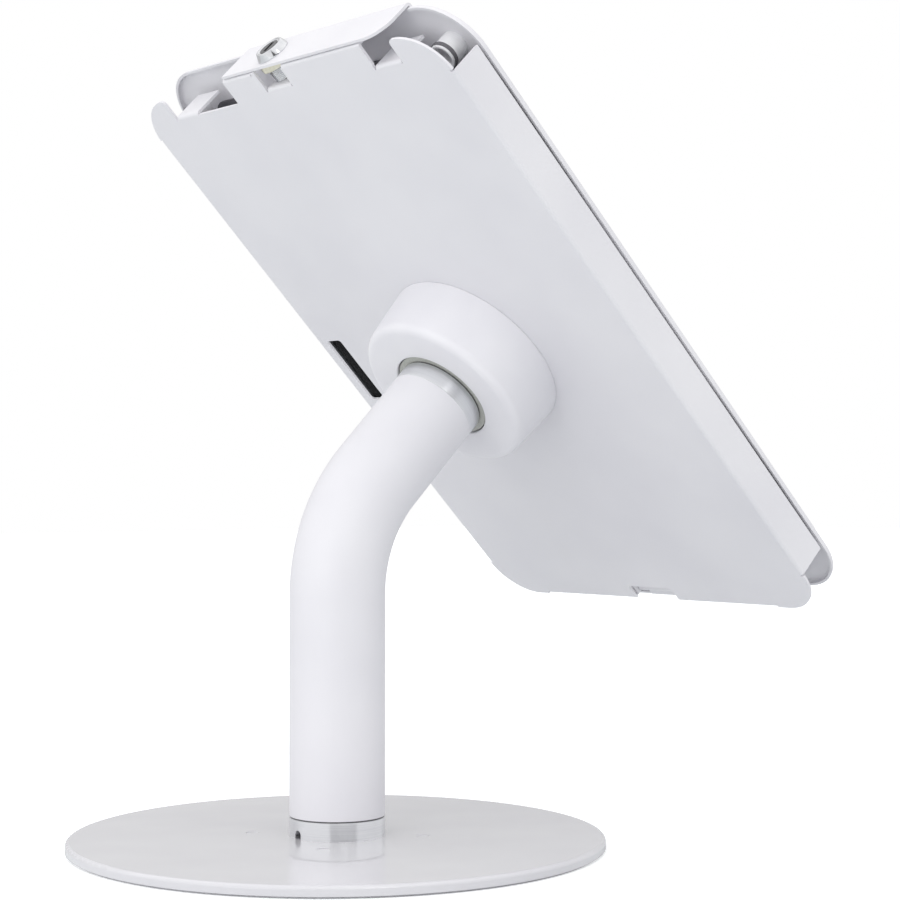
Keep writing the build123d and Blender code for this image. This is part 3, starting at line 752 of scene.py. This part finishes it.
def loft(name: str, groups: Sequence[Sequence[Ring]], place: Placement, closed: bool) -> Object:
    """Skin rings of points into one mesh.

    Args:
        name: Name of the new piece.
        groups: For each solid, its rings in order, with the same number of points.
        place: Where the local frame stands.
        closed: Whether the last ring joins the first; otherwise both ends are capped.

    Returns:
        The new object, shaded smooth with its real edges kept sharp.
    """
    form = bmesh.new()
    for rings in groups:
        rows = [[form.verts.new(point) for point in ring] for ring in rings]
        for low, high in zip(rows, rows[1:] + rows[:1] if closed else rows[1:]):
            for i in range(len(low)):
                form.faces.new((low[i - 1], low[i], high[i], high[i - 1]))
        if not closed:
            form.faces.new(rows[0])
            form.faces.new(rows[-1])
    bmesh.ops.recalc_face_normals(form, faces=form.faces)
    piece = mesh_object(name, form)
    piece.matrix_world = place.matrix()
    piece.data.shade_smooth()
    piece.data.set_sharp_from_angle(angle=math.radians(SHARP_ANGLE))
    return piece


def turned(
    name: str,
    profile: Profile,
    place: Placement,
    count: int = 96,
    centres: Sequence[Pair] = ((0, 0),),
) -> Object:
    """Turn a closed profile round the local axis.

    Args:
        name: Name of the new piece.
        profile: Radius and height of each point in millimetres.
        place: Where the local frame stands.
        count: Points on each ring.
        centres: One axis place in millimetres for each copy.

    Returns:
        The new object.
    """
    groups = [[circle(r, h, count, centre) for r, h in profile] for centre in centres]
    return loft(name, groups, place, closed=True)


@dataclass(frozen=True)
class FoamBlock:
    """Block of foam with rolled edges and a crowned face."""

    half: Pair  # half its width and half its length
    heights: Pair  # heights of its floor and of its face
    edge: float  # radius of the rolled edge
    crown: float  # how far the face rises from its edge to its middle

    def section(self) -> Profile:
        """Outline from the floor to the middle of the face.

        Returns:
            The inset from the block's side and the height of each point.
        """
        floor, face = self.heights
        edge, rim = self.edge, face - self.crown
        points = [(inset * edge, floor + rise * edge) for inset, rise in FOAM_FOOT]
        for step in range(FOAM_EDGE_STEPS + 1):
            a = math.pi / 2 * step / FOAM_EDGE_STEPS
            points.append((edge * (1 - math.cos(a)), rim - edge * (1 - math.sin(a))))
        reach = FOAM_REACH * min(self.half)
        for step in range(1, FOAM_CROWN_STEPS + 1):
            t = step / FOAM_CROWN_STEPS
            rise = self.crown * math.sin(math.pi / 2 * t)
            points.append((edge + (reach - edge) * t, rim + rise))
        return points

    def build(self, name: str, centres: Sequence[Pair], place: Placement) -> Object:
        """Make one piece of equal blocks.

        Args:
            name: Name of the new piece.
            centres: Middle of each block in millimetres.
            place: Where the local frame stands.

        Returns:
            The new object.
        """
        width, length = self.half
        groups = [
            [
                rounded_rectangle(
                    centre,
                    (width - inset, length - inset),
                    max(FOAM_CORNER * self.edge - inset, LEAST_CORNER),
                    height,
                )
                for inset, height in self.section()
            ]
            for centre in centres
        ]
        return loft(name, groups, place, closed=False)


@dataclass
class Stand:
    """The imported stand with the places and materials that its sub-assemblies share."""

    nodes: dict[str, Object]
    head: Placement
    lock: Placement
    materials: dict[Slot, Material]

    @classmethod
    def from_frame(cls, frame: dict[str, Any]) -> Stand:
        """Take the nodes and the joints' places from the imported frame.


        Returns:
            The stand, ready for its sub-assemblies.
        """
        joints = {joint["name"]: joint for joint in frame["joints"]}
        across = Vector((1, 0, 0))
        out = Vector(joints["head_rotation"]["axis"]).normalized()
        uphill = out.cross(across)
        head = Placement(Vector(joints["head_rotation"]["pos_m"]), across, uphill, out)
        lock_axis = Vector(joints["lock_turn"]["pos_m"])
        lock_origin = lock_axis - uphill * (lock_axis - head.origin).dot(uphill)
        return cls(
            nodes=frame["nodes"],
            head=head,
            lock=Placement(lock_origin, across, -out, uphill),
            materials={finish.slot: finish.material() for finish in FINISHES},
        )


@dataclass
class SubAssembly:
    """A group of pieces that are built and dressed together."""

    stand: Stand

    def build(self) -> None:
        """Build and dress every piece of the group."""
        raise NotImplementedError

    def carry(self, slot: Slot, *names: str, edge: float = 0) -> None:
        """Keep CAD nodes and give them a finish.

        Args:
            slot: Slot whose finish they get.
            names: Nodes to keep.
            edge: Width in millimetres by which their edges are eased, or 0 for none.
        """
        for name in names:
            node = self.stand.nodes[name]
            for place in node.material_slots:
                place.material = self.stand.materials[slot]
            if edge:
                ease_edges(node, edge)
            LOG.info("kept %s in %s", name, slot.value)

    def add(self, piece: Object, slot: Slot, body: Body, *replaced: str) -> Object:
        """Give a new piece its finish and its body, and hide the CAD nodes it stands for.

        Args:
            piece: The new object.
            slot: Slot whose finish it gets.
            body: Body it rides on.
            replaced: CAD nodes it stands for.

        Returns:
            The piece.
        """
        piece.data.materials.append(self.stand.materials[slot])
        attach(piece, body.value)
        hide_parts(*replaced)
        LOG.info("built %s in %s on %s", piece.name, slot.value, body.value)
        return piece


def ease_edges(node: Object, width: float) -> None:
    """Ease a CAD node's edges as deburring does, without changing its mesh.

    Args:
        node: The CAD node.
        width: Width of the eased edge in millimetres.
    """
    weld = node.modifiers.new("join_faces", "WELD")
    weld.merge_threshold = WELD_GAP * MM
    flat = node.modifiers.new("clear_flats", "DECIMATE")
    flat.decimate_type = "DISSOLVE"
    flat.angle_limit = math.radians(FLAT_ANGLE)
    bevel = node.modifiers.new("deburred_edge", "BEVEL")
    bevel.width = width * MM
    bevel.segments = EASED_STEPS
    bevel.limit_method = "ANGLE"
    bevel.angle_limit = math.radians(EASED_ANGLE)
    normals = node.modifiers.new("even_light", "WEIGHTED_NORMAL")
    normals.keep_sharp = True


@dataclass
class BasePlate(SubAssembly):
    """Round steel plate, the pad under it and the screws of the lower joint."""

    def build(self) -> None:
        """Dress the plate, pad and screws."""
        self.carry(Slot.GLOSS_COAT, "base_plate")
        self.carry(Slot.PAD, "base_pad")
        self.carry(Slot.STEEL, "hub_screws")


@dataclass
class FootJoint(SubAssembly):
    """Swivelling joint between the base and the arm."""

    deburr: float = 0.25

    def build(self) -> None:
        """Dress the joint's pieces."""
        self.carry(Slot.ALUMINIUM, "lower_collar", "swivel_hub", "arm_foot")
        self.carry(Slot.NYLON, "swivel_thrust_washer", "swivel_bushes")
        self.carry(Slot.SPRING, "swivel_disc_spring")
        self.carry(Slot.STEEL, "swivel_ring_nut", edge=self.deburr)
        self.carry(Slot.STEEL, "swivel_stop_pin")


@dataclass
class BentArm(SubAssembly):
    """Bent steel tube."""

    def build(self) -> None:
        """Dress the tube."""
        self.carry(Slot.POWDER_COAT, "arm_tube")


@dataclass
class NeckJoint(SubAssembly):
    """Turning joint between the arm and the head."""

    collar_radii: Pair = (20.05, 25)
    collar_heights: Pair = (-43.5, -33.7)
    collar_rolls: Pair = (0.5, 0.5)
    deburr: float = 0.25

    def build(self) -> None:
        """Turn the collar and dress the rest of the joint."""
        corners = band(self.collar_radii, self.collar_heights, self.collar_rolls)
        collar = turned("neck_collar", eased(corners), self.stand.head, count=128)
        self.add(collar, Slot.ALUMINIUM, Body.ARM, "upper_collar")
        self.carry(Slot.ALUMINIUM, "head_spindle")
        self.carry(Slot.NYLON, "head_thrust_washer", "head_bushes")
        self.carry(Slot.SPRING, "head_disc_spring")
        self.carry(Slot.STEEL, "head_ring_nut", edge=self.deburr)
        self.carry(Slot.STEEL, "head_stop_pin")


@dataclass
class TurningHub(SubAssembly):
    """Hub on the back of the case, and its round cover."""

    cover_radius: float = 53
    cover_hole: float = 28.5
    cover_depth: float = 34
    cover_wall: float = 2.5
    cover_draft: float = 3.2
    cover_roll: float = 5
    lip_roll: float = 0.9
    seat_roll: float = 0.6
    hub_edge: float = 0.4

    def build(self) -> None:
        """Mould the cover and dress the hub."""
        inner = self.cover_radius - self.cover_wall
        floor = self.cover_wall - self.cover_depth
        corners = (
            (self.cover_hole, -self.cover_depth, self.lip_roll),
            (self.cover_radius - self.cover_draft, -self.cover_depth, self.cover_roll),
            (self.cover_radius, 0, self.seat_roll),
            (inner, 0, self.seat_roll),
            (inner - self.cover_draft, floor, self.cover_roll / 2),
            (self.cover_hole, floor, self.lip_roll / 2),
        )
        cover = turned("cover_shell", eased(corners, steps=12), self.stand.head, count=192)
        self.add(cover, Slot.HOUSING, Body.HEAD, "hub_cover")
        self.carry(Slot.HUB, "head_hub", edge=self.hub_edge)


@dataclass
class BackCase(SubAssembly):
    """Folded back tray with its foam, rails, grommet, catch and hinge pin."""

    sheet: float = 1.5
    deburr: float = 0.3
    steel_edge: float = 0.2
    grommet_bore: float = 11.5
    grommet_waist: float = 14.98
    grommet_rim: float = 17
    grommet_flange: float = 1
    grommet_roll: float = 0.6
    grommet_edge: float = 0.2
    pad_place: Pair = (85, 120)
    pad_half: Pair = (25, 40)
    pad_height: float = 3.5
    strip_place: float = 125.85
    strip_half: Pair = (3.15, 165)
    strip_heights: Pair = (4.3, 14)
    foam_edge: float = 0.8
    foam_crown: float = 0.25

    def build(self) -> None:
        """Build the soft pieces and dress the sheet."""
        head = self.stand.head
        self.carry(Slot.POWDER_COAT, "back_tray", edge=self.deburr)
        below = [
            (self.grommet_bore, -self.grommet_flange, self.grommet_roll),
            (self.grommet_rim, -self.grommet_flange, self.grommet_roll),
            (self.grommet_rim, 0, self.grommet_edge),
            (self.grommet_waist, 0, 0),
        ]
        above = [(radius, self.sheet - height, roll) for radius, height, roll in reversed(below)]
        grommet = turned("rubber_grommet", eased(below + above), head)
        self.add(grommet, Slot.RUBBER, Body.HEAD, "cable_grommet")
        pad_heights = (self.sheet, self.sheet + self.pad_height)
        pad = FoamBlock(self.pad_half, pad_heights, self.foam_edge, self.foam_crown)
        pads = pad.build("tray_pads", four_corners(*self.pad_place), head)
        self.add(pads, Slot.FOAM, Body.HEAD, "tray_foam_pads")
        strip = FoamBlock(self.strip_half, self.strip_heights, self.foam_edge, self.foam_crown)
        sides = [(-self.strip_place, 0), (self.strip_place, 0)]
        strips = strip.build("side_strips", sides, head)
        self.add(strips, Slot.FOAM, Body.HEAD, "side_foam")
        self.carry(Slot.RAIL, "side_rails", edge=self.deburr)
        self.carry(Slot.STEEL, "tray_screws", "lock_catch", "hinge_pin", edge=self.steel_edge)


@dataclass
class FrontFrame(SubAssembly):
    """Folded front frame with its gasket, corner posts and their rings."""

    deburr: float = 0.3
    face: float = 25
    middle: float = -3.55
    window_half: Pair = (98, 173)
    window_corner: float = 6
    gasket_width: float = 5
    gasket_thickness: float = 1.2
    gasket_roll: float = 0.35
    post_place: Pair = (112.05, 173)
    post_radius: float = 7.05
    post_bore: float = 5.7
    post_length: float = 12.1
    post_edge: float = 0.5
    post_points: int = 64
    groove_depth: float = 0.65
    groove_low: float = 1.2
    groove_high: float = 3.4
    groove_edge: float = 0.1
    ring_swell: float = 0.6
    ring_gap: float = 0.02
    ring_rolls: Pair = (0.3, 0.7)

    def build(self) -> None:
        """Build the gasket, posts and rings, and dress the sheet."""
        self.carry(Slot.POWDER_COAT, "front_frame", edge=self.deburr)
        self.add(self.gasket(), Slot.RUBBER, Body.FRAME, "window_gasket")
        places = four_corners(*self.post_place)
        end = self.face - self.post_length
        waist = self.post_radius - self.groove_depth
        low, high = end + self.groove_low, end + self.groove_high
        corners = (
            (self.post_bore, end, self.post_edge),
            (self.post_radius, end, self.post_edge / 2),
            (self.post_radius, low, self.groove_edge),
            (waist, low, 0),
            (waist, high, 0),
            (self.post_radius, high, self.groove_edge),
            (self.post_radius, self.face, 0),
            (self.post_bore, self.face, 0),
        )
        profile = eased(corners, steps=3)
        posts = turned("turned_posts", profile, self.stand.head, self.post_points, places)
        self.add(posts, Slot.POST, Body.FRAME, "corner_posts")
        radii = (waist + self.ring_gap, self.post_radius + self.ring_swell)
        profile = eased(band(radii, (low, high), self.ring_rolls), steps=4)
        bands = turned("rubber_rings", profile, self.stand.head, self.post_points, places)
        self.add(bands, Slot.RUBBER, Body.FRAME, "post_rings")

    def gasket(self) -> Object:
        """Make the gasket round the window.

        Returns:
            The new object.
        """
        low = self.face - self.gasket_thickness
        corners = (
            (0, low, self.gasket_roll),
            (self.gasket_width, low, self.gasket_roll),
            (self.gasket_width, self.face, 0),
            (0, self.face, 0),
        )
        rings = [
            rounded_rectangle(
                (0, self.middle),
                (self.window_half[0] + grow, self.window_half[1] + grow),
                self.window_corner + grow,
                height,
            )
            for grow, height in eased(corners)
        ]
        return loft("window_seal", [rings], self.stand.head, closed=True)


@dataclass
class CamLock(SubAssembly):
    """Key lock in the front frame's top flange, with its nut and cam."""

    points: int = 96
    deburr: float = 0.15
    seat: float = 199.9
    head_rise: float = 4.2
    head_radius: float = 9.35
    head_skirt: float = 0.5
    rim_radius: float = 7.7
    rim_roll: float = 0.3
    dish_radius: float = 6.3
    dish_slope: float = 0.5
    dish_depth: float = 0.45
    dish_roll: float = 0.25
    small_roll: float = 0.15
    plug_bore: float = 5.55
    barrel_radius: float = 8
    barrel_end: float = 187.3
    thread_pitch: float = 1
    thread_depth: float = 0.45
    thread_start: float = 198.6
    thread_rings: int = 10  # rings of points for each turn
    thread_runout: float = 0.6
    thread_lead: float = 0.4
    lead_share: float = 0.2  # share of the depth at the barrel's end
    nut_top: float = 198.4
    nut_height: float = 4
    nut_flats: float = 20
    nut_chamfer: float = 0.3
    nut_slope: float = 1.7  # how fast the chamfer widens with height
    nut_levels: tuple[float, ...] = (0, 0.2, 0.4, 0.6, 0.8, 1.0)
    nut_gap: float = 0.02
    nut_lead: Pair = (0.4, 0.5)  # width and height of the bore's chamfer

    def build(self) -> None:
        """Cut the lock's barrel and nut, and dress the moving plug and cam."""
        self.add(self.barrel(), Slot.CHROME, Body.FRAME, "lock_body")
        self.add(self.nut(), Slot.BRASS, Body.FRAME, "lock_nut")
        self.carry(Slot.PLUG, "lock_plug", edge=self.deburr)
        self.carry(Slot.STEEL, "lock_cam", "cam_screw", edge=self.deburr)

    def barrel(self) -> Object:
        """Make the lock's head and its threaded barrel.

        Returns:
            The new object.
        """
        top = self.seat + self.head_rise
        corners = (
            (self.plug_bore, self.barrel_end, 0),
            (self.plug_bore, top - self.dish_depth, 0),
            (self.dish_radius, top - self.dish_depth, self.small_roll),
            (self.dish_radius + self.dish_slope, top, self.dish_roll),
            (self.rim_radius, top, self.rim_roll),
            (self.head_radius, self.seat + self.head_skirt, self.rim_roll),
            (self.head_radius, self.seat, self.small_roll),
            (self.barrel_radius, self.seat, 0),
        )
        rings = [circle(r, h, self.points) for r, h in eased(corners, steps=4)]
        length = self.thread_start - self.barrel_end
        steps = int(length / self.thread_pitch * self.thread_rings)
        for step in range(steps + 1):
            height = self.thread_start - length * step / steps
            rings.append(shaped_circle(self.thread, height, self.points))
        return loft("lock_barrel", [rings], self.stand.lock, closed=True)

    def thread(self, angle: float, height: float) -> float:
        """Radius of the thread at an angle and a height.

        Args:
            angle: Angle round the axis in radians.
            height: Height on the axis in millimetres.

        Returns:
            The radius in millimetres.
        """
        phase = 2 * math.pi * height / self.thread_pitch - angle
        runout = (self.thread_start - height) / self.thread_runout
        lead = (height - self.barrel_end) / self.thread_lead + self.lead_share
        fade = max(min(1, runout, lead), 0)
        return self.barrel_radius - self.thread_depth * fade * (0.5 - 0.5 * math.cos(phase))

    def nut(self) -> Object:
        """Make the six-sided nut with chamfered corners.

        Returns:
            The new object.
        """
        low, high = self.nut_top - self.nut_height, self.nut_top

        def outline(angle: float, height: float) -> float:
            """Radius of the chamfered hexagon at an angle and a height."""
            side = (angle + math.pi / 6) % (math.pi / 3) - math.pi / 6
            rise = min(height - low, high - height)
            flat = self.nut_flats / 2
            return min(flat / math.cos(side), flat + self.nut_chamfer + rise * self.nut_slope)

        bore = self.barrel_radius + self.nut_gap
        mouth, lead = bore + self.nut_lead[0], self.nut_lead[1]
        heights = [low + level for level in self.nut_levels]
        heights += [high - level for level in reversed(self.nut_levels)]
        rings = [circle(bore, low + lead, self.points), circle(mouth, low, self.points)]
        rings += [shaped_circle(outline, height, self.points) for height in heights]
        rings += [circle(mouth, high, self.points), circle(bore, high - lead, self.points)]
        return loft("hexagon_nut", [rings], self.stand.lock, closed=True)


def facing(direction: Vector) -> Euler:
    """Turn a lamp or camera towards a direction, with its top up."""
    return direction.to_track_quat("-Z", "Y").to_euler()


def stage_sheet(name: str, corners: Sequence[Triple], material: Material) -> Object:
    """Make a flat sheet that belongs to the studio.

    Args:
        name: Name of the sheet.
        corners: Its corners in metres.
        material: What it is made of.

    Returns:
        The new object.
    """
    form = bmesh.new()
    form.faces.new([form.verts.new(corner) for corner in corners])
    sheet = mesh_object(name, form)
    sheet.data.materials.append(material)
    return sheet


@dataclass(frozen=True)
class Softbox:
    """Square light that looks at the stand and that no reflection shows."""

    name: str
    place: Triple  # metres
    size: float  # metres
    power: float  # watts
    aim: Triple = (0, 0, 0.2)  # point it looks at, in metres

    def build(self) -> None:
        """Hang the light."""
        light = bpy.data.lights.new(self.name, "AREA")
        light.size = self.size
        light.energy = self.power
        lamp = new_object(self.name, light)
        lamp.location = self.place
        lamp.visible_glossy = False
        lamp.rotation_euler = facing(Vector(self.aim) - lamp.location)


@dataclass(frozen=True)
class Card:
    """Glowing card that only reflections see, for the bands on the turned metal."""

    name: str
    bearings: Pair  # degrees from +X to +Y, for its two sides
    rises: Pair  # degrees above the floor, for its foot and its head
    tone: float  # brightness, where the backdrop's is 1
    distance: float = 2.2  # metres from the stand

    def build(self) -> None:
        """Stand the card up."""
        left, right = (math.radians(bearing) for bearing in self.bearings)
        low, high = (math.radians(rise) for rise in self.rises)
        corners = [
            (
                self.distance * math.cos(rise) * math.cos(bearing),
                self.distance * math.cos(rise) * math.sin(bearing),
                self.distance * math.sin(rise),
            )
            for bearing, rise in ((left, low), (right, low), (right, high), (left, high))
        ]
        sheet = stage_sheet(self.name, corners, node_material(self.name, self.glow))
        sheet.visible_camera = False
        sheet.visible_diffuse = False
        sheet.visible_shadow = False

    def glow(self, tree: Tree) -> Node:
        """Even glow of the card's tone."""
        white = linear(Studio.backdrop)
        return add_node(tree, "ShaderNodeEmission", {"Color": white, "Strength": self.tone})


@dataclass
class Studio:
    """White room with soft lights, a pale floor, reflection cards and the camera.

    The backdrop is pure white to the camera, and its light on the stand fades a little towards
    the horizon.
    """

    camera_place: Triple = (-0.88513, 0.64008, 0.19021)
    camera_direction: Triple = (0.777445, -0.628765, 0.015321)
    lens: float = 83.28
    sensor: float = 36
    near_clip: float = 0.01
    backdrop: str = "#FFFFFF"
    horizon_light: float = 0.91
    zenith_light: float = 1.0
    floor_half: float = 6.0
    floor_shade: str = "#D9DCDD"
    floor_light: str = "#DDE0E1"
    floor_roughness: float = 0.9
    floor_specular: float = 0.1
    floor_lift: float = 0.5  # light added for the camera, so that no shadow greys the floor
    roller_spacing: float = 3
    roller_depth: float = 0.02
    sky_power: float = 0.5
    sky_spread: float = 120
    sky_direction: Triple = (0.2, -0.3, -1)
    softboxes: tuple[Softbox, ...] = (
        Softbox("key_light", place=(-0.5, 1.2, 1.5), size=1.0, power=2),
        Softbox("back_light", place=(-0.75, 1.8, 0.75), size=1.2, power=6.5),
    )
    cards: tuple[Card, ...] = (
        Card("end_card", bearings=(-12, 36), rises=(0, 38), tone=0.7),
        Card("bright_card", bearings=(50, 124), rises=(0, 38), tone=1.02),
        Card("grey_card", bearings=(127, 151), rises=(0, 17), tone=0.18),
        Card("dark_card", bearings=(151, 171), rises=(0, 17), tone=0.04),
        Card("pale_card", bearings=(171, 192), rises=(0, 17), tone=0.3),
        Card("far_card", bearings=(281, 361), rises=(0, 38), tone=0.64),
        Card("crown_card", bearings=(153, 171), rises=(22, 34), tone=2.8),
    )

    def build(self) -> None:
        """Set up the room, floor, lights, reflection cards and camera."""
        scene = bpy.context.scene
        scene.view_settings.view_transform = "Standard"
        scene.world = self.room()
        self.floor()
        self.sky_light()
        for item in self.softboxes + self.cards:
            item.build()
        self.camera()
        LOG.info("studio ready")

    def room(self) -> bpy.types.World:
        """Make the room's light.

        Returns:
            A world that the camera sees white, and that lights the stand less from low down.
        """
        world = bpy.data.worlds.new("white_room")
        world.use_nodes = True
        tree = world.node_tree
        tree.nodes.clear()
        backdrop = linear(self.backdrop)
        seen = add_node(tree, "ShaderNodeBackground", {"Color": backdrop, "Strength": 1.0})
        place = add_node(tree, "ShaderNodeTexCoord").outputs["Generated"]
        height = add_node(tree, "ShaderNodeSeparateXYZ", {"Vector": place}).outputs["Z"]
        spread = {"Value": height, "To Min": self.horizon_light, "To Max": self.zenith_light}
        rise = add_node(tree, "ShaderNodeMapRange", spread).outputs["Result"]
        felt = add_node(tree, "ShaderNodeBackground", {"Color": backdrop, "Strength": rise})
        rays = add_node(tree, "ShaderNodeLightPath").outputs["Is Camera Ray"]
        feeds = {0: rays, 1: felt.outputs[0], 2: seen.outputs[0]}
        mix = add_node(tree, "ShaderNodeMixShader", feeds)
        add_node(tree, "ShaderNodeOutputWorld", {"Surface": mix.outputs[0]})
        return world

    def floor(self) -> None:
        """Lay the pale floor."""
        h = self.floor_half
        paint = node_material("matt_floor_paint", self.floor_paint)
        stage_sheet("studio_floor", ((-h, -h, 0), (h, -h, 0), (h, h, 0), (-h, h, 0)), paint)

    def floor_paint(self, tree: Tree) -> Node:
        """Matt paint with a barely visible roller texture.

        Args:
            tree: Node tree of the material.

        Returns:
            The shader node.
        """
        roller = grain(tree, object_place(tree), self.roller_spacing)
        rays = add_node(tree, "ShaderNodeLightPath").outputs["Is Camera Ray"]
        feeds = {0: rays, 1: self.floor_lift}
        lift = add_node(tree, "ShaderNodeMath", feeds, operation="MULTIPLY")
        return add_node(
            tree,
            "ShaderNodeBsdfPrincipled",
            {
                "Base Color": tinted(tree, roller, self.floor_shade, self.floor_light),
                "Roughness": self.floor_roughness,
                "Specular IOR Level": self.floor_specular,
                "Emission Color": linear(self.backdrop),
                "Emission Strength": lift.outputs[0],
                "Normal": relief(tree, roller, self.roller_depth),
            },
        )

    def sky_light(self) -> None:
        """Hang a wide, even light above, which fills the shadows softly."""
        light = bpy.data.lights.new("sky_light", "SUN")
        light.energy = self.sky_power
        light.angle = math.radians(self.sky_spread)
        lamp = new_object("sky_light", light)
        lamp.rotation_euler = facing(Vector(self.sky_direction))

    def camera(self) -> None:
        """Place the camera at the photograph's viewpoint."""
        lens = bpy.data.cameras.new("photo_camera")
        lens.lens = self.lens
        lens.sensor_width = self.sensor
        lens.clip_start = self.near_clip
        camera = new_object("photo_camera", lens)
        camera.location = self.camera_place
        camera.rotation_euler = facing(Vector(self.camera_direction))
        bpy.context.scene.camera = camera


def main() -> None:
    """Build the dressed stand and its studio."""
    logging.basicConfig(level=logging.INFO, format="%(name)s: %(message)s")
    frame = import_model()
    stand = Stand.from_frame(frame)
    groups = (BasePlate, FootJoint, BentArm, NeckJoint, TurningHub, BackCase, FrontFrame, CamLock)
    for group in groups:
        group(stand).build()
    Studio().build()


if __name__ == "__main__":
    main()
